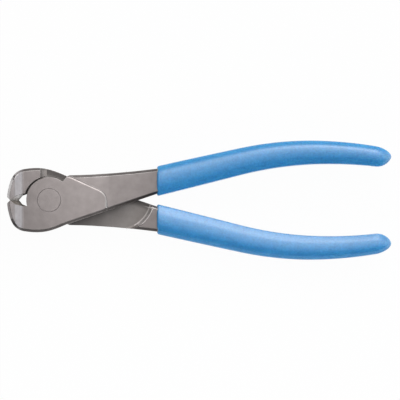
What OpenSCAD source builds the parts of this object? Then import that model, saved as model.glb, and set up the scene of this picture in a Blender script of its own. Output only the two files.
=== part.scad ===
// End cutting nippers, lying flat, jaws towards -X and handles towards +X.
// The pivot axis is the Z axis, and Z = 0 is the rear face of the joint.
// Both levers are one forging: the rear one is the front one turned over about the X axis.

/* [Overall] */
// Length from the nose of the jaws to the ends of the grips
overall_l = 160; // [150:1:175]

/* [Joint] */
// Thickness of the joint over both laps
joint_t = 12; // [10.5:0.1:13.5]
// Radius of the round lap that turns inside the other jaw
disc_r = 9.5; // [9.2:0.05:9.8]
// Gap between a round lap and the jaw that reaches round it
disc_gap = 0.5; // [0.3:0.05:0.6]
// Gap between the two lap faces
lap_gap = 0.06; // [0.03:0.01:0.15]
// Angle of the shoulder where the arm leaves the round lap
shoulder_angle = 54.5; // [52:0.5:57]
// Distance of the shoulder's outer corner from the pivot, along the tool
corner_x = 7.6; // [7:0.1:8.2]
// Distance of the shoulder's outer corner from the middle line
corner_y = 10; // [9.6:0.1:10.4]
// How far the joint boss stands over the arm
boss_h = 0.8; // [0.4:0.05:1.2]
// Distance from the pivot to the end of the joint boss
boss_l = 24.5; // [23:0.1:25.5]
// Distance from the pivot to the wall where the lap face ends on the jaw
wall_d = 3.6; // [3.2:0.1:4]
// Radius at the foot of that wall
wall_fillet_r = 2.9; // [2.2:0.1:3.2]

/* [Rivet] */
// Radius of the rivet's shank
rivet_r = 4; // [3:0.1:4.5]
// Radius of the rivet's flush heads
rivet_head_r = 4.9; // [4.6:0.1:5.5]
// Depth of a head's straight rim
rivet_rim_t = 0.4; // [0.2:0.05:0.8]
// Depth of a head's cone under the rim
rivet_cone_t = 1.2; // [0.8:0.1:1.8]
// Radial clearance of the rivet in the lever that turns on it
running_fit = 0.03; // [0.02:0.01:0.08]

/* [Jaws] */
// Distance from the pivot to the nose of the jaws
nose_l = 17.4; // [16.8:0.1:18.4]
// Half width of the head at its widest
head_h = 13.4; // [13:0.1:14]
// How far each side of the jaws flares out past the joint
flare_h = 3.6; // [2:0.1:4.5]
// Distance from the pivot to the start of the flare
flare_start = 10.4; // [10.1:0.1:11]
// Distance from the pivot to the end of the flare
flare_end = 15; // [14.4:0.1:15.6]
// Depth of the outer bevel from the nose back to the cutting edge
edge_back = 1.2; // [0.8:0.1:1.6]
// Gap left between the closed cutting edges
edge_gap = 0.04; // [0.02:0.01:0.1]
// Distance from the pivot to the point of the throat behind the edges
throat_l = 12.5; // [12:0.1:13]
// Half height of the throat where it meets the round lap
throat_h = 2.4; // [2:0.05:2.7]
// Depth of the hollow relief from a flared side, across the jaws
relief_t = 6.6; // [4:0.1:7.5]
// Drop of the relief below the edge line, at the flared side
relief_h = 2.8; // [2.6:0.1:3.1]

/* [Arms] */
// Width of the 45 degree break along the outer edges
edge_break = 1.1; // [0.5:0.1:1.4]
// Small break on the edges that stay crisp
crisp_break = 0.15; // [0.1:0.05:0.3]
// Rise of the arm's outer edge just behind the shoulder
root_rise = 0.4; // [0.2:0.1:0.7]
// Length of that rise
root_run = 1; // [0.6:0.1:2]
// Distance from the pivot to the middle of the round recess that ends the lap face
recess_x = 28.4; // [27:0.1:29.5]
// How far the recess's middle lies past the middle line, away from the arm
recess_y = 1.9; // [1:0.1:2.5]
// Radius of the recess, whose wall is the step across the arm
recess_r = 15.3; // [14.5:0.1:16]
// Radius at the foot of the step
step_fillet_r = 1.6; // [0.6:0.1:2]

/* [Handles] */
// Distance from the pivot to the front of the grips
grip_start = 45; // [44.6:0.1:50]
// Width of a grip at its front, seen from above
grip_w = 12.5; // [11.5:0.1:14]
// Width that a grip tapers to at its tip, seen from above
grip_end_w = 8.2; // [7.6:0.1:9.4]
// Thickness of a grip at its front
grip_t = 12.8; // [12:0.1:14]
// Thickness that a grip tapers to at its tip
grip_end_t = 10.2; // [9.4:0.1:12]
// Thickness of the dipped coat at the sides of the steel
grip_wall = 1; // [0.8:0.1:1.4]
// Length of the rounded tip of a grip
tip_l = 5.6; // [4:0.1:8]
// Length of the coat past the end of the steel
tip_wall = 5; // [3:0.1:8]
// Rounding at the front rim of the grips
rim_r = 0.6; // [0.3:0.05:0.6]
// Distance from the pivot to the widest point of the handles
bow_x = 112.4; // [105:0.5:118]
// Distance from the middle line to a handle's centre at its widest point
bow_y = 19.85; // [18:0.05:24]
// Radius of the handles' bow up to its widest point
bow_r = 140; // [120:1:180]
// Radius of the bow from there to the tips
tail_r = 172; // [140:1:220]
// Rise of the straight stretch of a handle per unit of length
bow_slope = 0.235; // [0.2:0.005:0.25]

/* [Hidden] */

steel = [0.63, 0.61, 0.60];
bright_steel = [0.70, 0.69, 0.68];
upper_blue = [0.27, 0.55, 0.82];
lower_blue = [0.40, 0.66, 0.88];

// Facets of the true round faces
$fn = 96;
// Stretches of the nose, the crown, the bare arm, the covered arm and the grip's tip
nose_n = 14;
crown_n = 12;
arm_n = 8;
tang_n = 16;
grip_n = 18;
tip_n = 6;
// Points round a grip, and pieces of a fillet
round_n = 20;
fillet_n = 6;
// Facets round the recess's half circle, and the depth of its ring as a share of its radius
recess_n = 36;
recess_ring_share = 0.75;

// One overrun for every cut
over = joint_t;
joint_half = joint_t / 2;
arm_half = joint_half - boss_h;
flare_half = joint_half + flare_h;
edge_x = nose_l - edge_back;
edge_half_gap = edge_gap / 2;
shoulder = disc_r * [cos(shoulder_angle), sin(shoulder_angle)];
tip_x = overall_l - nose_l;
tang_end = tip_x - tip_wall;

// Inner control points of the nose and crown, in shares of nose_l and head_h
nose_shares = [[-1, 0.164], [-0.948, 0.642], [-0.851, 0.915]];
nose_end_share = 0.968;
crown_shares = [[-0.109, 1.069], [0.101, 0.93]];
// Boss outline from the corner on, in shares of its length past the corner and of corner_y
boss_shares = [
    [0.118, 0.985], [0.476, 0.715], [0.76, 0.497], [0.818, 0.448],
    [0.866, 0.395], [0.91, 0.325], [0.953, 0.205], [0.985, 0.05], [1, -0.09]
];
// Bulge of the throat's side, in shares of its length and half height
throat_shares = [0.48, 0.74];
// Outline of the relief at the flared side, from the round lap on, in shares of its length and drop
relief_shares = [[0.62, 1], [0.36, 0.68]];
// Bends of the bare arm's outer edge and of the grips' taper, and squareness of the grips' section
arm_bend = 1.75;
grip_bend = 1.3;
grip_square = 3;
// Roundness of the tip, and how far its end leans outwards, as a share of its length
tip_bend = 1.6;
tip_lean_share = 0.16;
// Size of the tang's last section and of the grip's last section
tang_end_share = 0.8;
tip_end_share = 0.12;

function mix(a, b, u) = a + (b - a) * u;

function bezier(p, t) =
    pow(1 - t, 3) * p[0] + 3 * pow(1 - t, 2) * t * p[1] + 3 * (1 - t) * t * t * p[2] + pow(t, 3) * p[3];

// A share point of the head's outline as a place below the middle line
function head_point(s) = [s[0] * nose_l, -s[1] * head_h];

nose_end = [-flare_start, -nose_end_share * head_h];
nose_curve = [for (s = nose_shares) head_point(s), nose_end];
crown_curve = [nose_end, for (s = crown_shares) head_point(s), [corner_x, -corner_y]];
head_points = concat(
    [for (i = [0:nose_n]) bezier(nose_curve, i / nose_n)],
    [for (i = [1:crown_n]) bezier(crown_curve, i / crown_n)]
);

// Half thickness of the head, which flares out at the jaws
function head_half(x) =
    let (u = min(1, max(0, (-x - flare_start) / (flare_end - flare_start))))
    let (boss_cut = max(0, x - (boss_l - boss_h)))
    joint_half + flare_h * u * u * (3 - 2 * u) - boss_cut;

// Inner edge of the head before the boss: the edge line, then inside the round lap, then the shoulder
function head_inner(x) =
    x <= 0 ? -edge_half_gap
    : x < shoulder[0] ? mix(-edge_half_gap, shoulder[1], x / shoulder[0])
    : mix(shoulder[1], corner_y, (x - shoulder[0]) / (corner_x - shoulder[0]));

// Centre line and half width of a handle
function handle_y(x) =
    let (d = max(x - bow_x, -bow_slope * bow_r))
    let (r = x > bow_x ? tail_r : bow_r)
    bow_y - d * d / (2 * r) + bow_slope * min(0, x - bow_x + bow_slope * bow_r);
function handle_share(x) = (x - grip_start) / (tip_x - grip_start);
function taper_share(x) = pow(max(0, handle_share(x)), grip_bend);
function grip_half(x) = mix(grip_w, grip_end_w, taper_share(x)) / 2;
function grip_half_t(x) = mix(grip_t, grip_end_t, taper_share(x)) / 2;

// Edges of the steel arm, bare up to the grip and covered past it
function tang_half(x) = grip_half(x) - grip_wall;
function arm_low(x) =
    x > grip_start ? handle_y(x) - tang_half(x)
    : mix(-corner_y, handle_y(grip_start) - tang_half(grip_start), (x - corner_x) / (grip_start - corner_x));
function arm_high(x) =
    x > grip_start ? handle_y(x) + tang_half(x)
    : let (u = (x - corner_x) / (grip_start - corner_x))
      let (root = corner_y + root_rise * min(1, (x - corner_x) / root_run))
      mix(root, handle_y(grip_start) + tang_half(grip_start), pow(u, arm_bend));
function arm_half_t(x) =
    arm_half - max(0, grip_half_t(grip_start) - grip_half_t(x));

// One section of a lever at x, with a break on its low and its high edges
function bar_ring(x, low, high, half, low_break, high_break) = [
    [x, high, high_break - half],
    [x, high, half - high_break],
    [x, high - high_break, half],
    [x, low + low_break, half],
    [x, low, half - low_break],
    [x, low, low_break - half],
    [x, low + low_break, -half],
    [x, high - high_break, -half]
];

// One section of a grip at x: a squarish oval
function grip_ring(x, low, high, half) = [
    for (k = [0:round_n - 1])
        let (a = 360 * k / round_n)
        let (cy = sign(cos(a)) * pow(abs(cos(a)), 2 / grip_square))
        let (cz = sign(sin(a)) * pow(abs(sin(a)), 2 / grip_square))
        [x, (low + high) / 2 + cy * (high - low) / 2, cz * half]
];

// Skin through a row of sections, each with as many points
module loft(rings) {
    n = len(rings[0]);
    last = len(rings) - 1;
    polyhedron(
        points = [for (ring = rings) each ring],
        faces = [
            [for (k = [0:n - 1]) k],
            [for (k = [n - 1:-1:0]) last * n + k],
            for (i = [0:last - 1], k = [0:n - 1])
                let (a = i * n + k)
                let (b = i * n + (k + 1) % n)
                each [[a, b + n, b], [a, a + n, b + n]]
        ]
    );
}

// Jaw, crown and boss in one skin, still closed at the edge and full over both laps
module head_blank() {
    head_rings = [
        for (p = head_points)
            bar_ring(p[0], p[1], head_inner(p[0]), head_half(p[0]), crisp_break, crisp_break)
    ];
    boss_rings = [
        for (s = boss_shares)
            let (x = mix(corner_x, boss_l, s[0]))
            bar_ring(x, arm_low(x), s[1] * corner_y, head_half(x), crisp_break, boss_h)
    ];
    loft(concat(head_rings, boss_rings));
}

// Unit vector into the steel at point i of an outline that runs with the steel on its left
function inward(points, i) =
    let (run = points[min(i + 1, len(points) - 1)] - points[max(i - 1, 0)])
    [-run[1], run[0]] / norm(run);

// What the break takes off the front edge of the head, from the nose to the boss's end
module head_break() {
    w = edge_break;
    tail = boss_l + w;
    points = concat(
        [[-nose_l, edge_back]],
        head_points,
        [for (s = boss_shares) let (x = mix(corner_x, boss_l, s[0])) [x, arm_low(x)]],
        [[tail, arm_low(tail)]]
    );
    loft([
        for (i = [0:len(points) - 1])
            let (p = points[i])
            let (n = inward(points, i))
            let (inner = p + w * n)
            let (outer = p - w * n)
            let (top = head_half(inner[0]) + crisp_break / 3)
            [
                [inner[0], inner[1], top + w],
                [outer[0], outer[1], head_half(p[0]) + w],
                [outer[0], outer[1], head_half(p[0]) - w],
                [p[0], p[1], head_half(p[0]) - w],
                [inner[0], inner[1], top]
            ]
    ]);
}

// Prism over the whole width of the jaws, from a plan outline
module across(points) {
    translate([0, 0, -flare_half - over])
        linear_extrude(2 * (flare_half + over))
            polygon(points);
}

// Outer bevel in front of the cutting edge
module outer_bevel() {
    reach = edge_back + over;
    across([
        [-edge_x, -edge_half_gap],
        [-edge_x - reach, -edge_half_gap - reach],
        [-edge_x - reach, over],
        [-edge_x, over]
    ]);
}

// Throat behind the edges, where the cut wire's end stands
module throat() {
    across([
        [-throat_l, over],
        [-throat_l, -edge_half_gap],
        [mix(-throat_l, -disc_r, throat_shares[0]), -throat_h * throat_shares[1]],
        [-disc_r, -throat_h],
        [0, -throat_h],
        [0, over]
    ]);
}

// Hollow-ground relief that leaves the edge its full width but thins the jaw behind it
module side_relief() {
    side = [for (s = relief_shares) [mix(-edge_x, -disc_r, s[0]), -relief_h * s[1]]];
    behind = [[-disc_r, relief_h], [-disc_r, -throat_h]];
    hull() {
        translate([0, 0, flare_half - crisp_break])
            linear_extrude(over)
                polygon(concat([[-edge_x, -edge_half_gap], [-edge_x, relief_h]], behind, side));
        translate([0, 0, flare_half - relief_t])
            linear_extrude(crisp_break)
                polygon(concat([[-throat_l, -edge_half_gap], [-throat_l, relief_h]], behind));
    }
}

module jaw_head() {
    difference() {
        head_blank();
        outer_bevel();
        throat();
        for (side = [0, 1])
            mirror([0, 0, side]) {
                head_break();
                side_relief();
            }
    }
}

// Steel arm from the shoulder to its end inside the grip
module arm() {
    root_end = corner_x + root_run;
    bare = [corner_x, for (i = [0:arm_n]) mix(root_end, grip_start, i / arm_n)];
    covered = [for (i = [1:tang_n]) mix(grip_start, tang_end - edge_break, i / tang_n)];
    rings = [
        for (x = concat(bare, covered))
            bar_ring(x, arm_low(x), arm_high(x), arm_half_t(x), edge_break, edge_break)
    ];
    end_half = tang_half(tang_end) * tang_end_share;
    end_ring = bar_ring(
        tang_end, handle_y(tang_end) - end_half, handle_y(tang_end) + end_half,
        arm_half_t(tang_end) * tang_end_share, edge_break, edge_break
    );
    loft(concat(rings, [end_ring]));
}

// Side profile of a cut under the lap face: floor, foot fillet of radius r, wall at 0
function fillet_profile(length, r) = [
    [-length, lap_gap / 2],
    for (i = [0:fillet_n])
        let (a = 90 * i / fillet_n)
        [r * (sin(a) - 1), lap_gap / 2 - r * (1 - cos(a))],
    [0, -flare_half - over],
    [-length, -flare_half - over]
];

// The profile swept sideways, wall towards -X
module lap_slab(length, r) {
    mirror([1, 0, 0])
        translate([0, 2 * head_h, 0])
            rotate([90, 0, 0])
                linear_extrude(4 * head_h)
                    polygon(fillet_profile(length, r));
}

// Round recess that ends the lap face, in flat facets round its wall
module recess() {
    profile = fillet_profile(recess_r * recess_ring_share, step_fillet_r);
    loft([
        for (i = [0:recess_n])
            let (a = 180 * i / recess_n - 90)
            [
                for (p = profile)
                    [recess_x + (recess_r + p[0]) * cos(a), (recess_r + p[0]) * sin(a) - recess_y, p[1]]
            ]
    ]);
}

// All that the other lever's lap takes up below the joint's middle plane
module lap_cut() {
    translate([0, 0, -flare_half - over])
        cylinder(r = disc_r + disc_gap, h = flare_half + over + lap_gap / 2);
    translate([-wall_d, 0, 0])
        lap_slab(wall_d + mix(recess_x + recess_r, recess_x, recess_ring_share), wall_fillet_r);
    recess();
}

// Outline of the rivet from its middle to one face, wider by fit
function rivet_profile(fit) = [
    [0, 0],
    [rivet_r + fit, 0],
    [rivet_r + fit, joint_half - rivet_rim_t - rivet_cone_t],
    [rivet_head_r + fit, joint_half - rivet_rim_t],
    [rivet_head_r + fit, joint_half],
    [0, joint_half]
];

// Bore and countersink for the rivet, open at both ends
module rivet_seat(fit) {
    translate([0, 0, -over])
        cylinder(r = rivet_r + fit, h = 2 * over);
    rotate_extrude()
        polygon(rivet_profile(fit));
    translate([0, 0, joint_half - rivet_rim_t])
        cylinder(r = rivet_head_r + fit, h = over);
}

// One lever about the joint's middle plane, its lap above the plane and its jaw below the middle line
module lever(fit) {
    difference() {
        union() {
            jaw_head();
            translate([0, 0, -joint_half])
                cylinder(r = disc_r, h = joint_t);
            arm();
        }
        lap_cut();
        rivet_seat(fit);
    }
}

// Dipped coat over the arm, with a rounded rim and a bullet tip
module grip() {
    rim_ring = grip_ring(
        grip_start, handle_y(grip_start) - grip_half(grip_start) + rim_r,
        handle_y(grip_start) + grip_half(grip_start) - rim_r, grip_half_t(grip_start) - rim_r
    );
    body = [
        for (i = [0:grip_n])
            let (x = mix(grip_start + rim_r, tip_x - tip_l, i / grip_n))
            grip_ring(x, handle_y(x) - grip_half(x), handle_y(x) + grip_half(x), grip_half_t(x))
    ];
    tip = [
        for (i = [1:tip_n])
            let (u = sin(90 * i / tip_n))
            let (x = tip_x - tip_l + tip_l * u)
            let (y = handle_y(x) + tip_lean_share * tip_l * u * u)
            let (size = max(tip_end_share, sqrt(1 - pow(u, tip_bend))))
            grip_ring(x, y - grip_half(x) * size, y + grip_half(x) * size, grip_half_t(x) * size)
    ];
    difference() {
        loft(concat([rim_ring], body, tip));
        arm();
    }
}

// A piece of the rear lever's side is one of the front lever's side turned over
module front_side() {
    translate([0, 0, joint_half]) children();
}
module rear_side() {
    translate([0, 0, joint_half]) rotate([180, 0, 0]) children();
}

module front_lever() {
    color(steel) front_side() lever(running_fit);
}

module rear_lever() {
    color(steel) rear_side() lever(0);
}

module pivot_rivet() {
    half = [for (k = [2:5]) rivet_profile(0)[k]];
    color(bright_steel)
        translate([0, 0, joint_half])
            rotate_extrude()
                polygon(concat([for (k = [3:-1:0]) [half[k][0], -half[k][1]]], half));
}

module front_grip() {
    color(upper_blue) front_side() grip();
}

module rear_grip() {
    color(lower_blue) rear_side() grip();
}

front_lever();
rear_lever();
pivot_rivet();
front_grip();
rear_grip();
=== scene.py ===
# %% [markdown]
# # End cutting nippers
# The tool lies flat with its jaws towards -X and its handles towards +X, and the pivot is the
# Z axis. The CAD model gives the sizes and the motion, and this lesson gives the looks: satin
# steel with softly broken edges, a flush rivet, and dipped plastic grips. Blender counts in
# metres, so a length is written in millimetres and multiplied by MM where Blender needs it.

# %% Load the frame
import math

import bmesh
import bpy
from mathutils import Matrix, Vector


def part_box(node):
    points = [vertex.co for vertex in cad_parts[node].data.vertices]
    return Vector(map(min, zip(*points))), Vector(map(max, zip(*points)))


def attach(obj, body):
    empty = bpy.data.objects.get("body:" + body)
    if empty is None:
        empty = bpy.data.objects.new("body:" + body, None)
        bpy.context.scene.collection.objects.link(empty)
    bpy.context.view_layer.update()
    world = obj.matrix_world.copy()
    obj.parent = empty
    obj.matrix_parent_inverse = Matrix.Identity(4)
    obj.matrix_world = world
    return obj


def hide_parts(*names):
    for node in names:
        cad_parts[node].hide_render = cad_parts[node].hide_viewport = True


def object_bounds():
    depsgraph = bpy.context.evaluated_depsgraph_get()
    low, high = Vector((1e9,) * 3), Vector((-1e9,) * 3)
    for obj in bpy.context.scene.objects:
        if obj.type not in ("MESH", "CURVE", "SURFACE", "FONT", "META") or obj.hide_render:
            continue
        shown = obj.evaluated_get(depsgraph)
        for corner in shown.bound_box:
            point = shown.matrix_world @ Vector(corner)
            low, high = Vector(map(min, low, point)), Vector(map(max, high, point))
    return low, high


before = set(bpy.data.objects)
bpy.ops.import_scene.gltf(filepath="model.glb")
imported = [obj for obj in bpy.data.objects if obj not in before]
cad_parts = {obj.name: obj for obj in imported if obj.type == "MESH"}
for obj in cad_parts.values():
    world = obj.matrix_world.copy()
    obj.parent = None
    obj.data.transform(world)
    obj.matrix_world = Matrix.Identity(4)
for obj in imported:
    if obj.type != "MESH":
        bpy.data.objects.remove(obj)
cad_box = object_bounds()
MM = 0.001
print("CAD nodes:", ", ".join(sorted(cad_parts)))


# %% [markdown]
# ## Sizes that the CAD model gives
# A piece that stands for a CAD solid has to be where that solid is. The boxes of the solids
# say so better than copied numbers: the rivet is as long as the joint is thick, and the box of
# a grip says where the dip ended and where the tip is.

# %% Sizes from the frame
JOINT_THICKNESS = round(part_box("pivot_rivet")[1].z / MM, 2)
MID_PLANE = JOINT_THICKNESS / 2
GRIP_START, TIP_END = (round(corner.x / MM, 2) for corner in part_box("front_grip"))
FLOOR_Z = cad_box[0][2]
print("joint", JOINT_THICKNESS, "mm thick, grips from", GRIP_START, "to", TIP_END, "mm")


# %% [markdown]
# ## The camera
# The photograph looks straight down on the tool from far away, so nothing shrinks with depth.
# A long lens would do, but an orthographic camera says the same thing with one number: the
# width of the view.

# %% Camera
VIEW_WIDTH = 166.67
VIEW_CENTRE = (62.9, 0.06)
CAMERA_HEIGHT = 600

bpy.ops.object.camera_add(location=[c * MM for c in (*VIEW_CENTRE, CAMERA_HEIGHT)], rotation=(0, 0, 0))
camera = bpy.context.object
camera.name = "camera"
camera.data.type = "ORTHO"
camera.data.ortho_scale = VIEW_WIDTH * MM
bpy.context.scene.camera = camera
print("view width in mm:", VIEW_WIDTH)


# %% [markdown]
# ## Lamps
# The tool was shot in soft light that comes from the top right of the picture: the slopes that
# face that way are the brightest. One large area lamp does this. A second one in the same
# place shows in mirrors only, so that the shine of the steel and of the plastic can be set
# apart from how brightly they are lit. A lamp low beyond the handles catches whatever looks
# that way, such as the shoulder where the joint drops to the arm, and a cool one opens the
# shadows from the other side. This last one is hidden from mirrors, because a second highlight
# would give it away.

# %% Lamps
WINDOW, WINDOW_SIZE, WINDOW_COLOUR = (190, 560, 380), 300, (1, 0.99, 0.98)


def add_lamp(name, place, size, power, colour):
    """A square area lamp at place in millimetres, aimed at the middle of the tool."""
    bpy.ops.object.light_add(type="AREA", location=[c * MM for c in place])
    lamp = bpy.context.object
    lamp.name = name
    lamp.data.shape = "SQUARE"
    lamp.data.size = size * MM
    lamp.data.energy = power
    lamp.data.color = colour
    aim = Vector([c * MM for c in (*VIEW_CENTRE, 0)]) - lamp.location
    lamp.rotation_euler = aim.to_track_quat("-Z", "Y").to_euler()
    print(name, power, "W")
    return lamp


add_lamp("window_lamp", WINDOW, WINDOW_SIZE, power=0.6, colour=WINDOW_COLOUR)
glint = add_lamp("window_glint", WINDOW, WINDOW_SIZE, power=0.45, colour=WINDOW_COLOUR)
glint.visible_diffuse = False
add_lamp("end_lamp", (640, 60, 110), size=420, power=0.62, colour=(0.9, 0.97, 1))
fill = add_lamp("fill_lamp", (60, -480, 300), size=340, power=1.15, colour=(0.84, 0.92, 1))
fill.visible_glossy = False


# %% [markdown]
# ## Wiring nodes
# Every material is a small network of nodes. Most of these helpers add one node each: they set
# its plain values, wire what comes from other nodes, and give back the node or its output.
# Nodes are set out in rows in the order in which they are made, so a network reads like text.

# %% Node helpers
ROW_LENGTH, ROW_STEP, ROW_DROP = 8, 200, 300


def node(tree, kind, **values):
    """Adds a node and sets the inputs that are named like the keywords."""
    row, column = divmod(len(tree.nodes), ROW_LENGTH)
    made = tree.nodes.new(kind)
    made.location = (column * ROW_STEP, -row * ROW_DROP)
    for name, value in values.items():
        feed(tree, value, made.inputs[name.replace("_", " ")])
    return made


def feed(tree, value, to):
    """Wires an output to an input, or writes a plain value into it."""
    if isinstance(value, bpy.types.NodeSocket):
        tree.links.new(value, to)
    else:
        to.default_value = value


def object_place(tree):
    """The coordinates of the surface in the object's own frame, in metres."""
    return node(tree, "ShaderNodeTexCoord").outputs["Object"]


print("each row of nodes holds", ROW_LENGTH)


# %% Sums
def number(tree, operation, *values):
    """A sum with one, two or three numbers."""
    made = node(tree, "ShaderNodeMath")
    made.operation = operation
    for value, to in zip(values, made.inputs):
        feed(tree, value, to)
    return made.outputs[0]


def vector(tree, operation, *values, answer="Vector"):
    """A sum with one or two vectors, whose answer is a Vector or a Value."""
    made = node(tree, "ShaderNodeVectorMath")
    made.operation = operation
    for value, to in zip(values, made.inputs):
        feed(tree, value, to)
    return made.outputs[answer]


def mapped(tree, value, start, end, low=0.0, high=1.0, curve="LINEAR"):
    """Turns start to end into low to high, and holds the value past both ends."""
    ends = {"From_Min": start, "From_Max": end, "To_Min": low, "To_Max": high}
    made = node(tree, "ShaderNodeMapRange", Value=value, **ends)
    made.interpolation_type = curve
    return made.outputs["Result"]


print("sums with numbers, vectors and ranges are ready")


# %% Colours
def mixed_colour(tree, mask, dark, light):
    """A colour between dark and light by mask."""
    made = node(tree, "ShaderNodeMix")
    made.data_type = "RGBA"
    for name, value in (("Factor", mask), ("A", (*dark, 1)), ("B", (*light, 1))):
        feed(tree, value, made.inputs[name])
    return made.outputs["Result"]


def ramp(tree, value, stops):
    """A colour that follows value through (place, colour) stops."""
    made = node(tree, "ShaderNodeValToRGB", Fac=value)
    marks = made.color_ramp.elements
    marks.remove(marks[-1])
    for count, (place, colour) in enumerate(stops):
        mark = marks.new(place) if count else marks[0]
        mark.position = place
        mark.color = (*colour, 1)
    return made.outputs["Color"]


def graded(tree, length, stops):
    """A colour that follows a length through (millimetres, colour) stops, held past both ends."""
    first, last = stops[0][0], stops[-1][0]
    share = mapped(tree, length, first * MM, last * MM)
    return ramp(tree, share, [((place - first) / (last - first), colour) for place, colour in stops])


print("mixed and graded colours are ready")


# %% [markdown]
# ## The room
# Steel shows what is around it, so an even grey world would make it look like grey paint. A
# studio is bright where the window and its reflector stand, and dark on the other side. The
# world's tone follows how far a direction turns towards the bright side.

# %% World
BRIGHT_SIDE = (0.24, 0.6, 0.763)
ROOM_TONES = [(0.0, 0.07), (0.3, 0.13), (0.55, 0.4), (0.7, 0.6), (0.8, 0.98), (0.9, 1.5), (1.0, 2.0)]

world = bpy.data.worlds.new("soft_grey_room")
world.use_nodes = True
bpy.context.scene.world = world
room = world.node_tree
way = node(room, "ShaderNodeTexCoord").outputs["Generated"]
towards = vector(room, "DOT_PRODUCT", way, BRIGHT_SIDE, answer="Value")
tones = ramp(room, towards, [(at, [tone] * 3) for at, tone in ROOM_TONES])
feed(room, tones, room.nodes["Background"].inputs["Color"])
bpy.context.scene.view_settings.view_transform = "Standard"
print("room tones from", ROOM_TONES[0][1], "to", ROOM_TONES[-1][1])


# %% [markdown]
# ## The floor
# The tool lies on white paper that hides every corner of the table. One large plane does that,
# at the height of the lowest point of the jaws. It is stage and not a piece of the tool.

# %% Floor
FLOOR_SIZE = 6000

bpy.ops.object.select_all(action="DESELECT")
bpy.ops.mesh.primitive_plane_add(size=FLOOR_SIZE * MM, location=(0, 0, 0))
floor = bpy.context.object
floor.name = "floor"
for corner in floor.data.vertices:
    corner.co.z = FLOOR_Z
print("floor height in mm:", round(FLOOR_Z / MM, 2))


# %% [markdown]
# ## White paper
# Lit white paper still renders as pale grey, and brighter lamps would bleach the tool. So the
# paper shows the camera plain white, and the same to rays that bounced off steel, because the
# sides of the steel mirror it. A small share of its real shading stays, which is the soft
# shadow that keeps the tool from floating. Far away the paper darkens, as a sweep of paper
# does behind a small table, and this gives the steel something darker to mirror.

# %% Paper
SHADOW_SHARE = 0.03
PAPER_CENTRE = (20 * MM, 60 * MM, FLOOR_Z)
PAPER_NEAR, PAPER_FAR = 190 * MM, 450 * MM
LIT_TONES, WHITE_TONES = (0.86, 0.3), (1.0, 0.22)

paper = bpy.data.materials.new("white_paper")
paper.use_nodes = True
sheet = paper.node_tree
sheet.nodes.clear()
away = vector(sheet, "DISTANCE", object_place(sheet), PAPER_CENTRE, answer="Value")
fade = mapped(sheet, away, PAPER_NEAR, PAPER_FAR, curve="SMOOTHSTEP")
lit = node(sheet, "ShaderNodeBsdfDiffuse", Color=mapped(sheet, fade, 0, 1, *LIT_TONES))
white = node(sheet, "ShaderNodeEmission", Color=mapped(sheet, fade, 0, 1, *WHITE_TONES), Strength=1.0)
rays = node(sheet, "ShaderNodeLightPath").outputs
seen = number(sheet, "MAXIMUM", rays["Is Camera Ray"], rays["Is Glossy Ray"])
seen = number(sheet, "MAXIMUM", seen, rays["Is Transmission Ray"])
mix = node(sheet, "ShaderNodeMixShader", Fac=number(sheet, "MULTIPLY", seen, 1 - SHADOW_SHARE))
feed(sheet, lit.outputs[0], mix.inputs[1])
feed(sheet, white.outputs[0], mix.inputs[2])
node(sheet, "ShaderNodeOutputMaterial", Surface=mix.outputs[0])
floor.data.materials.append(paper)
print("the paper keeps", SHADOW_SHARE, "of its shading")


# %% [markdown]
# ## Shared effects
# Ground steel and dipped plastic both vary a little over their surface. Two small node groups
# carry that variation: soft clouds for patches of tone, and fine grain that can be drawn out
# in one direction. Steel and plastic each give them their own values. A group puts out only a
# mask or a height, and the shader itself stays in the material.

# %% Group sockets
def shader_group(name, inputs, output):
    """A new group with a place, float inputs and a float output, and what its input node gives."""
    group = bpy.data.node_groups.new(name, "ShaderNodeTree")
    group.interface.new_socket(name="Place", in_out="INPUT", socket_type="NodeSocketVector")
    for label, value in inputs.items():
        socket = group.interface.new_socket(name=label, in_out="INPUT", socket_type="NodeSocketFloat")
        socket.default_value = value
    group.interface.new_socket(name=output, in_out="OUTPUT", socket_type="NodeSocketFloat")
    return group, node(group, "NodeGroupInput").outputs


def place_group(tree, group, place, **values):
    """Places a shared effect in a material with its own values, and gives its mask or height."""
    made = node(tree, "ShaderNodeGroup")
    made.node_tree = group
    for name, value in {"Place": place, **values}.items():
        feed(tree, value, made.inputs[name.replace("_", " ")])
    return made.outputs[0]


print("node groups can be made and placed")


# %% Soft clouds
clouds, given = shader_group("soft_clouds", {"Per Metre": 200.0, "Low": 0.35, "High": 0.65}, "Mask")
cloud_noise = node(
    clouds, "ShaderNodeTexNoise", Vector=given["Place"], Scale=given["Per Metre"], Detail=4.0, Roughness=0.55
)
node(clouds, "NodeGroupOutput", Mask=mapped(clouds, cloud_noise.outputs["Fac"], given["Low"], given["High"]))
print(clouds.name, "has", len(clouds.nodes), "nodes")


# %% Drawn grain
grain, given = shader_group("drawn_grain", {"Per Metre": 5000.0, "Along": 0.05}, "Height")
axes = node(grain, "ShaderNodeSeparateXYZ", Vector=given["Place"]).outputs
drawn_y = number(grain, "MULTIPLY", axes["Y"], given["Along"])
drawn = node(grain, "ShaderNodeCombineXYZ", X=axes["X"], Y=drawn_y, Z=axes["Z"])
grain_noise = node(
    grain, "ShaderNodeTexNoise", Vector=drawn.outputs[0], Scale=given["Per Metre"], Detail=3.0, Roughness=0.6
)
node(grain, "NodeGroupOutput", Height=grain_noise.outputs["Fac"])
print(grain.name, "has", len(grain.nodes), "nodes")
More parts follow.
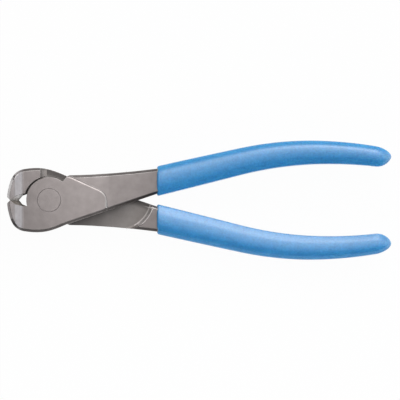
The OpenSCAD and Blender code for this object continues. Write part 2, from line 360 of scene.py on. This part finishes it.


# %% [markdown]
# ## How ground steel is lit
# The levers are drop forged and then ground on a belt. A belt never leaves a face quite flat:
# it gives a little over the head, so the reflection there turns slowly from bright to dim. A
# bump that falls by about a third of a millimetre from the pivot to the end of the jaws says
# that, and the outline stays that of the CAD model. A ramp of tones from the jaws to the grips
# paints light and shade into the colour: a painted highlight on the slope where the jaws flare,
# steel that grows lighter from the jaws to the joint, and painted shade along the arms towards
# the grips. The jaws also get a slightly cooler tint.

# %% Crown and tones
CROWN_RADIUS, CROWN_REACH = 430 * MM, 25 * MM
# Painted light and shade along the tool: x in millimetres, tone and coolness.
PAINTED_LIGHT_ALONG = [
    (-18, 1.12, 0.02), (-14.8, 0.95, 0.02), (-13.6, 1.35, 0.03), (-12.7, 1.65, 0.03), (-11.4, 1.12, 0.03),
    (-10.4, 0.8, 0), (-4, 0.9, 0), (4, 1.0, 0), (20, 1.03, 0), (26, 0.9, 0), (34, 0.88, 0), (45, 0.72, 0),
]


def crowned(tree, place):
    """The height of a face that the belt left a little domed over the head, in metres."""
    axes = node(tree, "ShaderNodeSeparateXYZ", Vector=place).outputs
    along = number(tree, "MINIMUM", axes["X"], CROWN_REACH)
    squares = [number(tree, "MULTIPLY", side, side) for side in (along, axes["Y"])]
    return number(tree, "MULTIPLY", number(tree, "ADD", *squares), -0.5 / CROWN_RADIUS)


def painted_light_along(tree, place, colour):
    """The colour with painted light and shade along the tool: place in millimetres, tone and coolness."""
    along = node(tree, "ShaderNodeSeparateXYZ", Vector=place).outputs["X"]
    stops = [(x, [tone * (1 + cool * way) for way in (-1, 0, 1)]) for x, tone, cool in PAINTED_LIGHT_ALONG]
    return vector(tree, "MULTIPLY", colour, graded(tree, along, stops))


print("tones along the tool:", len(PAINTED_LIGHT_ALONG))


# %% [markdown]
# ## Ground steel
# Bare metal has no colour under its mirror, so it is metallic, and its base colour is what it
# mirrors: a warm grey. The belt draws its grain across the tool, and grease and fingers leave
# faint patches. The same function makes every steel of the tool, from its two tones, its two
# roughnesses, the depth of its grain and how metallic it is.

# %% Ground steel
PATCHES = {"Per_Metre": 260.0, "Low": 0.32, "High": 0.7}
BELT_LINES = {"Per_Metre": 5200.0, "Along": 0.06}


def new_material(name, metallic):
    """A material with a Principled shader: the material, its nodes, its inputs and a place."""
    material = bpy.data.materials.new(name)
    material.use_nodes = True
    tree = material.node_tree
    inputs = tree.nodes["Principled BSDF"].inputs
    inputs["Metallic"].default_value = metallic
    return material, tree, inputs, object_place(tree)


def ground_steel(name, dark, light, smooth, rough, grain_depth, metallic=1.0):
    """Steel between two tones and two roughnesses, with grain of a depth in millimetres."""
    material, tree, inputs, place = new_material(name, metallic)
    colour = mixed_colour(tree, place_group(tree, clouds, place, **PATCHES), dark, light)
    # Every steel gets the painted light and shade along the tool.
    feed(tree, painted_light_along(tree, place, colour), inputs["Base Color"])
    lines = place_group(tree, grain, place, **BELT_LINES)
    feed(tree, mapped(tree, lines, 0, 1, smooth, rough), inputs["Roughness"])
    depth = number(tree, "MULTIPLY_ADD", lines, grain_depth * MM, crowned(tree, place))
    bump = node(tree, "ShaderNodeBump", Strength=1.0, Distance=1.0, Height=depth)
    feed(tree, bump.outputs["Normal"], inputs["Normal"])
    print(name, "has", len(tree.nodes), "nodes")
    return material


steel = ground_steel("satin_steel", (0.385, 0.345, 0.338), (0.45, 0.405, 0.398), 0.32, 0.48, 0.007)
rivet_steel = ground_steel("rivet_steel", (0.39, 0.35, 0.343), (0.455, 0.41, 0.403), 0.32, 0.48, 0.006)


# %% [markdown]
# ## The other steels of a lever
# One forging shows several finishes, and several of these steels also carry painted light and
# shade. The broken edges are smoother, and brighter as a painted highlight. The wall that ends
# the hollow in the arm is pale as a painted highlight, and the same steel is a painted highlight
# on the nose of the upper jaw. The sides keep their dark forged skin. The shoulder, where the
# raised joint drops to the arm, is blended by hand, and its steel is darker as painted shade.
# The inner faces of the jaws, cut to make room behind the edges, are pale as a painted highlight
# on the upper jaw and dark as painted shade on the lower one. The lap is oiled and darker, partly
# as painted shade, and the narrow gap round the disc is black as painted shade, with a low
# metallic value.

# %% Steels with painted highlight and shade, and forged skin
# Broken edges: smoother, and brighter as a painted highlight.
edge_highlight_steel = ground_steel("painted_highlight_edge_steel", (0.46, 0.43, 0.42), (0.56, 0.53, 0.52), 0.28, 0.42, 0.004)
# The step's wall and the upper jaw's nose: pale as a painted highlight.
step_highlight_steel = ground_steel("painted_highlight_step_steel", (0.78, 0.73, 0.71), (0.9, 0.85, 0.83), 0.35, 0.5, 0.004, 0.6)
skin_steel = ground_steel(
    "forged_skin_steel", (0.16, 0.142, 0.138), (0.22, 0.198, 0.192), 0.36, 0.55, 0.008, metallic=0.85
)
# The shoulder: darker as painted shade.
shoulder_shade_steel = ground_steel(
    "painted_shade_shoulder_steel", (0.25, 0.23, 0.225), (0.3, 0.28, 0.275), 0.4, 0.5, 0.004
)

# %% Relief, lap and gap steels, with painted highlight and shade
# The upper jaw's relief: pale as a painted highlight.
relief_highlight_steel = ground_steel(
    "painted_highlight_relief_steel", (0.78, 0.71, 0.66), (0.9, 0.83, 0.78), 0.4, 0.6, 0.006, metallic=0.3
)
# The lower jaw's relief and the rims by the throat: dark as painted shade.
shade_steel = ground_steel("painted_shade_relief_steel", (0.2, 0.17, 0.15), (0.26, 0.225, 0.2), 0.4, 0.6, 0.006, 0.5)
# The lap: oiled, and darker as painted shade.
lap_steel = ground_steel("oiled_and_shaded_lap_steel", (0.34, 0.31, 0.295), (0.4, 0.365, 0.35), 0.4, 0.6, 0.006, 0.55)
# The gap round the disc: black as painted shade, with a low metallic value.
gap_shade_steel = ground_steel(
    "painted_shade_gap_steel", (0.03, 0.027, 0.025), (0.06, 0.052, 0.047), 0.6, 0.8, 0.006, metallic=0.3
)


# %% [markdown]
# ## Oil and painted shade on the lap
# The joint is oiled, and what creeps out from under the disc darkens the lap, together with
# painted shade of the other lever. Right beside the disc the lap stays light, a little farther
# out it is darkest, and from there it lightens along the arm. A painted shadow lies in a line
# where the edge of the other arm rests. The lap of the rear lever looks up from just under the
# middle of the joint, that of the front lever looks down from just over it, and the two are each
# other turned over: the sign of the height over the middle tells them apart.

# %% Oil and painted shade round the pivot
# Distance from the pivot's axis in millimetres and tone: oiling and painted shade.
PIVOT_OIL_AND_SHADE = [(10.5, 1.1), (12.4, 1.1), (13.6, 0.46), (22.0, 0.6), (27.0, 0.8), (35.0, 1.12)]


def pivot_oil_and_shade(tree, place):
    """The tones of oiling and painted shade on the lap, by the distance from the pivot's axis."""
    level = vector(tree, "MULTIPLY", place, (1, 1, 0))
    distance = vector(tree, "LENGTH", level, answer="Value")
    return graded(tree, distance, [(radius, [tone] * 3) for radius, tone in PIVOT_OIL_AND_SHADE])


print("oil reaches", PIVOT_OIL_AND_SHADE[-1][0], "mm from the pivot")

# %% Painted shadow along the other arm
EDGE_SLOPE, EDGE_DROP = 0.323, 11.9
# Distance across the line in millimetres and tone of the painted shadow.
EDGE_SHADOW = [(-3.0, 0.9), (-1.0, 0.4), (0.4, 0.3), (1.0, 0.5), (1.8, 0.77), (4.0, 1.0)]


def edge_shadow(tree, place):
    """The tones of a painted shadow across the line where the edge of the other arm rests."""
    axes = node(tree, "ShaderNodeSeparateXYZ", Vector=place).outputs
    side = number(tree, "SIGN", number(tree, "SUBTRACT", axes["Z"], MID_PLANE * MM))
    across = number(tree, "MULTIPLY", axes["Y"], side)
    over = number(tree, "SUBTRACT", number(tree, "MULTIPLY", axes["X"], EDGE_SLOPE), across)
    return graded(tree, over, [(EDGE_DROP + distance, [tone] * 3) for distance, tone in EDGE_SHADOW])


print("oil line", EDGE_SHADOW[-1][0] - EDGE_SHADOW[0][0], "mm wide")

# %% Darken the lap with oiling and painted shade
lap_nodes = lap_steel.node_tree
lap_colour = lap_nodes.nodes["Principled BSDF"].inputs["Base Color"]
lap_place = object_place(lap_nodes)
# Both ramps darken the lap: oiling with painted shade round the pivot, and a painted shadow along the other
# arm.
for lap_darkening in (pivot_oil_and_shade(lap_nodes, lap_place), edge_shadow(lap_nodes, lap_place)):
    feed(lap_nodes, vector(lap_nodes, "MULTIPLY", lap_colour.links[0].from_socket, lap_darkening), lap_colour)
print(lap_steel.name, "now has", len(lap_nodes.nodes), "nodes")


# %% [markdown]
# ## Dipped plastic
# The handles are dipped in liquid plastic, which sets as one soft blue skin. It is no metal,
# a little light sinks into it, and its colour is mottled at two scales: cloudy patches, and a
# fine speckle from the texture of the dip. The skin is soft and half matt with a clear gloss
# on top, which the palm rubs off the outer side. Each grip carries that in an attribute named
# across: its points remember how far out they lie, from -1 inside to 1 outside.

# %% Coat colour
COAT_PATCHES = {"Per_Metre": 330.0, "Low": 0.3, "High": 0.7}
COAT_SPECKLE = {"Per_Metre": 1300.0, "Low": 0.38, "High": 0.62}
DEEP_BLUE, LIGHT_BLUE = (0.014, 0.24, 0.56), (0.036, 0.36, 0.75)

coat_blue, coat, coat_inputs, coat_place = new_material("blue_dipped_coat", 0.0)
layers = [place_group(coat, clouds, coat_place, **values) for values in (COAT_PATCHES, COAT_SPECKLE)]
halves = [number(coat, "MULTIPLY", layer, 1 / len(layers)) for layer in layers]
blue = mixed_colour(coat, number(coat, "ADD", *halves), DEEP_BLUE, LIGHT_BLUE)
feed(coat, blue, coat_inputs["Base Color"])
coat_inputs["Subsurface Weight"].default_value = 0.5
coat_inputs["Subsurface Radius"].default_value = (0.3, 0.6, 1.0)
coat_inputs["Subsurface Scale"].default_value = 2.5 * MM
print(coat_blue.name, "is mottled in", len(layers), "layers")

# %% Coat skin and gloss
COAT_ROUGHNESS = (0.34, 0.48)
PALM_RUBS = (0.56, 0.94)

skin = place_group(coat, grain, coat_place, Per_Metre=900.0, Along=1.0)
feed(coat, mapped(coat, skin, 0, 1, *COAT_ROUGHNESS), coat_inputs["Roughness"])
coat_bump = node(coat, "ShaderNodeBump", Strength=0.7, Distance=0.25 * MM, Height=skin)
feed(coat, coat_bump.outputs["Normal"], coat_inputs["Normal"])
across = node(coat, "ShaderNodeAttribute")
across.attribute_name = "across"
gloss = mapped(coat, across.outputs["Fac"], *PALM_RUBS, low=1.0, high=0.0, curve="SMOOTHSTEP")
feed(coat, gloss, coat_inputs["Coat Weight"])
coat_inputs["Coat IOR"].default_value = 2.0
coat_inputs["Coat Roughness"].default_value = 0.38
coat_inputs["IOR"].default_value = 1.3
print(coat_blue.name, "has", len(coat.nodes), "nodes")


# %% [markdown]
# ## The levers
# The steel of a lever is a copy of its CAD solid, so it fits the other lever exactly. Two
# things are added to the copy: each face gets the steel that its place on the forging has,
# and each hard edge is broken by the amount that a belt, a file or wear takes off there. The
# levers are one form, one of them turned over, so the tool is the same from above and from
# below. Each point is first looked up as if the tool lay with the point's half up, and then
# one set of rules serves both levers and both sides.

# %% Where a point lies on its lever
SHOULDER_X, SHOULDER_FOOT_Y, SHOULDER_LEAST_UP = (8.0, 25.5), -4.0, 2.0
SHOULDER_TOP, SHOULDER_FALL = (8.75, 9.9), 0.345
STEP_CENTRE, STEP_RADIUS, STEP_BAND = (28.4, 1.9), 15.3, 1.9
STEP_START_X, STEP_END_Y = 32.0, 1.0


def own_place(point):
    """x, y and height over the middle in millimetres, as if the tool lay with the point's half up."""
    x, y, z = (c / MM for c in point)
    up = z - MID_PLANE
    return x, math.copysign(1, up) * y, abs(up)


def on_shoulder(point):
    """Whether a point lies on the line where the boss drops to the arm."""
    x, y, up = own_place(point)
    top = SHOULDER_TOP[1] - SHOULDER_FALL * (x - SHOULDER_TOP[0])
    return SHOULDER_X[0] < x < SHOULDER_X[1] and up > SHOULDER_LEAST_UP and SHOULDER_FOOT_Y < y < top


def on_step(point):
    """Whether a point lies on the hollow wall that ends the lap."""
    x, y, up = own_place(point)
    off = math.hypot(x - STEP_CENTRE[0], y - STEP_CENTRE[1]) - STEP_RADIUS
    return x > STEP_START_X and y < STEP_END_Y and abs(off) < STEP_BAND


for lever in ("front_lever", "rear_lever"):
    corners = [corner.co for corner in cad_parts[lever].data.vertices]
    print(lever, "points on the shoulder:", sum(map(on_shoulder, corners)))
    print(lever, "points on the step:", sum(map(on_step, corners)))


# %% [markdown]
# ## Which steel a face gets
# A face looks up, sideways or in between, and the height of its normal tells which: 1 is a
# level face and 0 an upright one. The level faces are ground, or lap when they lie deep. Then
# come the places one by one: the gap round the disc, the jaws with their sides, nose and
# reliefs, the step and the shoulder. Of what is left, slopes near the middle are lap, the
# sides of the arms are forged skin, and the rest is ground.

# %% Faces of the step and the jaws
STEP_FACING_SHARE = 0.2
NOSE_FACING, NOSE_LEVEL = -0.55, 0.4
SIDE_FACING, RELIEF_FACING, RELIEF_Y = 0.25, -0.3, 4.5


def faces_step(face):
    """Whether a face belongs to the step's wall, so it looks back at the middle of the hollow."""
    x, y, up = own_place(face.center)
    across = math.copysign(1, y * face.center.y) * face.normal.y
    inwards = face.normal.x * (STEP_CENTRE[0] - x) + across * (STEP_CENTRE[1] - y)
    return on_step(face.center) and inwards > STEP_FACING_SHARE * STEP_RADIUS


def jaw_steel(face):
    """The steel of a jaw's nose, side or relief. Nose and relief get a painted highlight on the upper jaw.
    """
    upper = face.center.y > 0
    outwards = face.normal.y if upper else -face.normal.y
    if face.normal.x < NOSE_FACING and upper and abs(face.normal.z) > NOSE_LEVEL:
        return step_highlight_steel
    if outwards > SIDE_FACING:
        return skin_steel
    # The upper relief is pale as a painted highlight, the lower one dark as painted shade.
    if outwards < RELIEF_FACING and abs(face.center.y / MM) < RELIEF_Y:
        return relief_highlight_steel if upper else shade_steel
    return steel


print("the reliefs lie within", RELIEF_Y, "mm of the middle line")

# %% Steel of a face
LAP_TOP, LAP_MARGIN = 5.0, 0.5
JAW_START, GAP_RADIUS, STEP_FADE_Y = -9.4, 10.5, -10.3
LEVEL, STEP_LEVEL, STEP_EDGE_LEVEL, UPRIGHT = 0.9, 0.96, 0.82, 0.2
SKIN_FACING = 0.3


def level_steel(corners):
    """The finish of a level face: lap when all of it lies deep."""
    highest = max(own_place(corner)[2] for corner in corners)
    return lap_steel if highest < LAP_TOP else steel


# Painted shade darkens the gap, the shoulder and the lower relief; a painted highlight brightens the step.
def steel_of(face, corners):
    """The finish of a ground or forged face of a lever."""
    x, y, up = own_place(face.center)
    level = abs(face.normal.z)
    if level > (STEP_LEVEL if faces_step(face) else LEVEL):
        return level_steel(corners)
    if level < UPRIGHT and math.hypot(x, y) < GAP_RADIUS:
        return gap_shade_steel
    if x < JAW_START:
        return jaw_steel(face)
    if faces_step(face) and y < STEP_FADE_Y:
        return lap_steel
    if faces_step(face):
        return edge_highlight_steel if level > STEP_EDGE_LEVEL else step_highlight_steel
    if on_shoulder(face.center):
        return shoulder_shade_steel
    if up < LAP_TOP - LAP_MARGIN and level > UPRIGHT:
        return lap_steel
    return skin_steel if abs(face.normal.y) > SKIN_FACING else steel


print("level faces less than", LAP_TOP, "mm from the middle are lap")


# %% [markdown]
# ## How much an edge is broken
# A sharp edge of zero width never catches the light, and real ones do. Most edges of the tool
# are only cleared of burrs. The shoulder and the step are blended by hand, and the break along
# the rim of the gap widens towards the jaws. The rivet's seat stays crisp, or the rivet's ring
# would double. The broken edge is a face of its own, so it gets a steel of its own as well.

# %% Breaks
FINE_BREAK, TIGHT_BREAK, GAP_BREAK, SHOULDER_BREAK, STEP_BREAK = 0.1, 0.04, 0.36, 0.4, 0.6
DISC_RADIUS, DISC_EDGE, RIVET_SEAT_RADIUS = 9.5, 0.8, 5.5
GAP_END, GAP_RIM, GAP_WIDENING = -3.3, (9.8, 10.7), 6.0
HARD_ANGLE = math.radians(30)


def break_width(edge):
    """How wide an edge is broken, in millimetres."""
    if len(edge.link_faces) != 2 or edge.calc_face_angle() < HARD_ANGLE:
        return 0
    middle = (edge.verts[0].co + edge.verts[1].co) / 2
    x, y, up = own_place(middle)
    radius = math.hypot(x, y)
    if x < GAP_END and y > 0 and GAP_RIM[0] < radius < GAP_RIM[1]:
        return TIGHT_BREAK + GAP_BREAK * min(1, (GAP_END - x) / GAP_WIDENING)
    if radius < RIVET_SEAT_RADIUS or x < GAP_END and abs(radius - DISC_RADIUS) < DISC_EDGE:
        return TIGHT_BREAK
    if on_step(middle) and up > LAP_TOP:
        return STEP_BREAK
    if on_shoulder(middle):
        return SHOULDER_BREAK if edge.is_convex else 0
    return FINE_BREAK


print("edges are broken by", TIGHT_BREAK, "to", STEP_BREAK, "mm")

# %% Steel of a broken edge
GAP_RIM_FACES = (9.75, 11.3)
RELIEF_END_X, RELIEF_RIM_Y = -2.0, 4.8
SHOULDER_TURN_X = 21.5


def break_steel_of(face):
    """The steel of a broken edge: mostly a painted highlight, painted shade by the gap and the reliefs."""
    x, y, up = own_place(face.center)
    if faces_step(face):
        return step_highlight_steel
    if on_shoulder(face.center):
        return edge_highlight_steel if x > SHOULDER_TURN_X else steel
    if x < GAP_END and y > 0 and GAP_RIM_FACES[0] < math.hypot(x, y) < GAP_RIM_FACES[1]:
        return gap_shade_steel
    if GAP_END < x < RELIEF_END_X and y > 0 and up > LAP_TOP:
        return shade_steel
    if x < JAW_START and abs(y) < RELIEF_RIM_Y:
        return shade_steel
    return edge_highlight_steel


# From this x on, the shoulder's broken edge is brightened as a painted highlight.
print("the shoulder is rubbed bright from x", SHOULDER_TURN_X, "mm on")


# %% [markdown]
# ## Making a lever's steel
# The CAD mesh is loose triangles, so the copy is merged first, and its flat stretches are
# dissolved into whole faces. By hand, each edge would get its own bevel width. A bevel weight
# does the same in one step: it is the edge's share of the widest break, and one Bevel modifier
# reads it. Weighted normals keep the large faces flat beside their small bevels.

# %% Edit one piece
def edit_alone(piece, mode="VERT"):
    """Makes piece the only selected object and opens it in edit mode with all of it selected."""
    if bpy.context.object and bpy.context.object.mode != "OBJECT":
        bpy.ops.object.mode_set(mode="OBJECT")
    bpy.ops.object.select_all(action="DESELECT")
    piece.select_set(True)
    bpy.context.view_layer.objects.active = piece
    bpy.ops.object.mode_set(mode="EDIT")
    bpy.ops.mesh.select_mode(type=mode)
    bpy.ops.mesh.select_all(action="SELECT")


def apply_modifier(piece, kind, name, **settings):
    """Adds a modifier with these settings and applies it at once."""
    made = piece.modifiers.new(name, kind)
    for setting, value in settings.items():
        setattr(made, setting, value)
    bpy.ops.object.modifier_apply(modifier=name)
    print(piece.name, "after", name, "has", len(piece.data.polygons), "faces")


# %% Faces and edges of a lever
LEVER_STEELS = [
    steel, edge_highlight_steel, skin_steel, lap_steel, relief_highlight_steel,
    shade_steel, gap_shade_steel, shoulder_shade_steel, step_highlight_steel,
]
BREAK_SLOT = LEVER_STEELS.index(edge_highlight_steel)
EDGE_BREAKING = {
    "width": STEP_BREAK * MM, "segments": 3, "limit_method": "WEIGHT",
    "use_clamp_overlap": False, "material": BREAK_SLOT,
}


def give_steels(piece):
    """Gives each face of a lever its steel."""
    piece.data.materials.clear()
    for material in LEVER_STEELS:
        piece.data.materials.append(material)
    for face in piece.data.polygons:
        corners = [piece.data.vertices[corner].co for corner in face.vertices]
        face.material_index = LEVER_STEELS.index(steel_of(face, corners))


def weigh_edges(piece):
    """Gives each edge its break as a bevel weight, as a share of the widest."""
    mesh = bmesh.new()
    mesh.from_mesh(piece.data)
    mesh.normal_update()
    weight = mesh.edges.layers.float.new("bevel_weight_edge")
    for edge in mesh.edges:
        edge[weight] = break_width(edge) / STEP_BREAK
    mesh.to_mesh(piece.data)
    mesh.free()


print("a lever shows", len(LEVER_STEELS), "steels")

# %% Lever steel
def lever_steel(node_name, name):
    """A copy of a lever's CAD solid with its steels and its broken edges."""
    piece = bpy.data.objects.new(name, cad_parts[node_name].data.copy())
    bpy.context.scene.collection.objects.link(piece)
    edit_alone(piece)
    bpy.ops.mesh.remove_doubles(threshold=0.02 * MM)
    bpy.ops.mesh.dissolve_limited(angle_limit=math.radians(1))
    bpy.ops.object.mode_set(mode="OBJECT")
    give_steels(piece)
    weigh_edges(piece)
    apply_modifier(piece, "BEVEL", "broken_edges", **EDGE_BREAKING)
    for face in piece.data.polygons:
        if face.material_index == BREAK_SLOT:
            face.material_index = LEVER_STEELS.index(break_steel_of(face))
    bpy.ops.object.shade_smooth_by_angle(angle=HARD_ANGLE)
    apply_modifier(piece, "WEIGHTED_NORMAL", "flat_faces_stay_flat", keep_sharp=True)
    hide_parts(node_name)
    return piece


front_steel = lever_steel("front_lever", "front_lever_steel")
rear_steel = lever_steel("rear_lever", "rear_lever_steel")
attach(front_steel, "front_half")
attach(rear_steel, "rear_half")


# %% [markdown]
# ## The rivet
# One rivet holds the levers together. It is turned to size and set into countersinks, then
# ground flush, so only a fine ring shows. A turned piece is drawn as half of its outline and
# spun round the axis. The outline starts as a single point: a plane merged at its centre,
# which is then extruded from corner to corner. Both heads have the same corners, so they are
# written once, as a radius and a depth under the face.

# %% Rivet outline
SHANK_RADIUS = 4
HEAD_CORNERS = [(0, 0), (4.76, 0), (4.88, 0.1), (4.88, 0.4), (SHANK_RADIUS, 1.6)]


def point_by_point(name, points):
    """An open outline, extruded vertex by vertex from a single point. Points in millimetres."""
    bpy.ops.object.select_all(action="DESELECT")
    bpy.ops.mesh.primitive_plane_add(size=MM, location=(0, 0, 0))
    piece = bpy.context.object
    piece.name = name
    edit_alone(piece)
    bpy.ops.mesh.merge(type="CENTER")
    bpy.ops.transform.translate(value=[c * MM for c in points[0]])
    for here, there in zip(points, points[1:]):
        step = [(b - a) * MM for a, b in zip(here, there)]
        bpy.ops.mesh.extrude_vertices_move(TRANSFORM_OT_translate={"value": step})
    return piece


front_head = [(radius, 0, JOINT_THICKNESS - depth) for radius, depth in HEAD_CORNERS]
rear_head = [(radius, 0, depth) for radius, depth in reversed(HEAD_CORNERS)]
outline = [*front_head, (SHANK_RADIUS, 0, MID_PLANE), *rear_head]
rivet = point_by_point("flush_rivet", outline)
print("outline of", len(outline), "corners")

# %% Rivet
SPIN_STEPS = 96

bpy.ops.mesh.select_all(action="SELECT")
bpy.ops.mesh.spin(steps=SPIN_STEPS, angle=math.tau, center=(0, 0, 0), axis=(0, 0, 1))
bpy.ops.mesh.select_all(action="SELECT")
bpy.ops.mesh.remove_doubles(threshold=0.001 * MM)
bpy.ops.mesh.normals_make_consistent(inside=False)
bpy.ops.object.mode_set(mode="OBJECT")
bpy.ops.object.shade_smooth_by_angle(angle=HARD_ANGLE)
rivet.data.materials.append(rivet_steel)
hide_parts("pivot_rivet")
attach(rivet, "rear_half")
print(rivet.name, len(rivet.data.polygons), "faces")


# %% [markdown]
# ## The line of a handle
# A handle leaves the joint straight and then bows with a large radius, a little tighter before
# its widest point than behind it. The grip follows that line and gets slimmer towards the tip,
# slowly at first. These are the curves of the steel inside it, so the coat stays even.

# %% Handle line
BOW_X, BOW_Y, BOW_SLOPE = 112.4, 19.85, 0.235
BOW_RADIUS, TAIL_RADIUS = 140.0, 172.0
WIDTHS, THICKNESSES, TAPER_POWER = (12.5, 8.2), (12.8, 10.2), 1.3


def handle_y(x):
    """Height of the handle's centre line at x, in millimetres."""
    run = max(x - BOW_X, -BOW_SLOPE * BOW_RADIUS)
    radius = TAIL_RADIUS if x > BOW_X else BOW_RADIUS
    return BOW_Y - run * run / (2 * radius) + BOW_SLOPE * min(0, x - BOW_X + BOW_SLOPE * BOW_RADIUS)


def half_size(x, sizes):
    """Half of a size that tapers from the front of the grip to its tip."""
    share = max(0, (x - GRIP_START) / (TIP_END - GRIP_START))
    return (sizes[0] + (sizes[1] - sizes[0]) * share ** TAPER_POWER) / 2


for x in (GRIP_START, BOW_X, TIP_END):
    print("centre line at x", x, "mm:", round(handle_y(x), 2), "mm")


# %% [markdown]
# ## The section of a grip
# Cut across, a grip isn't round. It is domed on the outside, where the palm lies, and
# squarish on the inside. There the dip clings to the flat side of the steel, so the corner
# turns into a slightly hollow facet that catches the window. A superellipse gives both: its
# exponent is low outside and high inside, and a lowered edge cuts the facet.

# %% Grip section
OUTER_SQUARENESS, INNER_SQUARENESS = 2.5, 4.0
FACET_START, FACET_FALL, FACET_HOLLOW = 0.15, 0.375, 1.5


def section(across, up):
    """The grip's section at a direction on the unit circle: domed outside, faceted inside."""
    squareness = OUTER_SQUARENESS if across > 0 else INNER_SQUARENESS
    across, up = (math.copysign(abs(c) ** (2 / squareness), c) for c in (across, up))
    if across < -FACET_START:
        share = (-across - FACET_START) / (1 - FACET_START)
        up = math.copysign(min(abs(up), 1 - FACET_FALL * share ** FACET_HOLLOW), up)
    return across, up


print("share of the height that the facet leaves:", 1 - FACET_FALL)


# %% [markdown]
# ## The rings of a grip
# The coat is drawn out from ring to ring. It begins inside the lip, comes out round the rim,
# which surface tension leaves rounded, follows the handle, and closes in a bullet tip. The
# tip's rings lie closer together towards its end, and they drift outwards a little, because
# the drop that hangs from a dipped handle sets a little to one side.

# %% Grip rings
LIP_DEPTH, LIP_EDGE, LIP_STEP, LIP_MOUTH = 3.0, 0.6, 2.0, 1.3
RIM_RADIUS, RIM_STEPS = 0.8, 6
BODY_RINGS = 56
TIP_LENGTH, TIP_RINGS, TIP_LIFT_SHARE = 6.4, 14, 0.14
TIP_POWER, TIP_ROUNDNESS, TIP_SMALLEST = 1.9, 0.6, 0.05


def lip_and_rim():
    """(x, y, half width, half thickness) of the rings from inside the lip to the rim's top."""
    width, thickness = half_size(GRIP_START, WIDTHS), half_size(GRIP_START, THICKNESSES)
    y = handle_y(GRIP_START)
    deep, edge = GRIP_START + LIP_DEPTH, GRIP_START + LIP_EDGE
    rings = [
        (deep, handle_y(deep), width - LIP_STEP, thickness - LIP_STEP),
        (edge, y, width - LIP_STEP, thickness - LIP_STEP),
        (GRIP_START, y, width - LIP_MOUTH, thickness - LIP_MOUTH),
    ]
    for i in range(RIM_STEPS + 1):
        turn = math.radians(90 * i / RIM_STEPS)
        less = RIM_RADIUS * (1 - math.sin(turn))
        x = GRIP_START + RIM_RADIUS * (1 - math.cos(turn))
        rings.append((x, handle_y(x), width - less, thickness - less))
    return rings


def body_and_tip():
    """The same for the rings along the handle and round the tip."""
    rings = []
    start, end = GRIP_START + RIM_RADIUS, TIP_END - TIP_LENGTH
    for i in range(1, BODY_RINGS + 1):
        x = start + (end - start) * i / BODY_RINGS
        rings.append((x, handle_y(x), half_size(x, WIDTHS), half_size(x, THICKNESSES)))
    for i in range(1, TIP_RINGS + 1):
        u = math.sin(math.radians(90 * i / TIP_RINGS))
        x = end + TIP_LENGTH * u
        size = max(TIP_SMALLEST, max(0, 1 - u ** TIP_POWER) ** TIP_ROUNDNESS)
        y = handle_y(x) + TIP_LIFT_SHARE * TIP_LENGTH * u * u
        rings.append((x, y, half_size(x, WIDTHS) * size, half_size(x, THICKNESSES) * size))
    return rings


GRIP_RINGS = lip_and_rim() + body_and_tip()
print(len(GRIP_RINGS), "rings")


# %% [markdown]
# ## Drawing out a grip
# The first ring is a filled circle whose points are moved onto the section. Its edge is then
# extruded to the next ring and scaled there about the ring's centre, over and over, and the
# last ring is merged to a point. The lower grip is drawn like the upper one and then mirrored
# in the edit, and because a mirror turns a mesh inside out, its normals are recalculated.

# %% First ring
RING_POINTS = 64


def first_ring(name):
    """A filled ring with the grip's section at its start, whose points know how far out they lie."""
    x, y, width, thickness = GRIP_RINGS[0]
    bpy.ops.object.select_all(action="DESELECT")
    bpy.ops.mesh.primitive_circle_add(vertices=RING_POINTS, radius=MM, fill_type="NGON")
    piece = bpy.context.object
    piece.name = name
    across = piece.data.attributes.new("across", "FLOAT", "POINT")
    for corner, mark in zip(piece.data.vertices, across.data):
        out, up = section(corner.co.x / MM, corner.co.y / MM)
        mark.value = out
        corner.co = (x * MM, (y + out * width) * MM, (MID_PLANE + up * thickness) * MM)
    return piece


print("a grip has", RING_POINTS * len(GRIP_RINGS), "points on its rings")

# %% Grips
def dipped_grip(name, mirrored):
    """A grip drawn out along the upper handle, or mirrored to the lower one."""
    piece = first_ring(name)
    edit_alone(piece, "EDGE")
    for here, there in zip(GRIP_RINGS, GRIP_RINGS[1:]):
        step = ((there[0] - here[0]) * MM, (there[1] - here[1]) * MM, 0)
        bpy.ops.mesh.extrude_edges_move(TRANSFORM_OT_translate={"value": step})
        centre = (there[0] * MM, there[1] * MM, MID_PLANE * MM)
        bpy.ops.transform.resize(value=(1, there[2] / here[2], there[3] / here[3]), center_override=centre)
    bpy.ops.mesh.merge(type="CENTER")
    bpy.ops.mesh.select_all(action="SELECT")
    if mirrored:
        bpy.ops.transform.mirror(constraint_axis=(False, True, False), center_override=(0, 0, 0))
    bpy.ops.mesh.normals_make_consistent(inside=False)
    bpy.ops.object.mode_set(mode="OBJECT")
    bpy.ops.object.shade_smooth()
    piece.data.materials.append(coat_blue)
    print(name, len(piece.data.polygons), "faces")
    return piece


front_coat = dipped_grip("front_grip_coat", False)
rear_coat = dipped_grip("rear_grip_coat", True)
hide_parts("front_grip")
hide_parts("rear_grip")
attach(front_coat, "front_half")
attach(rear_coat, "rear_half")
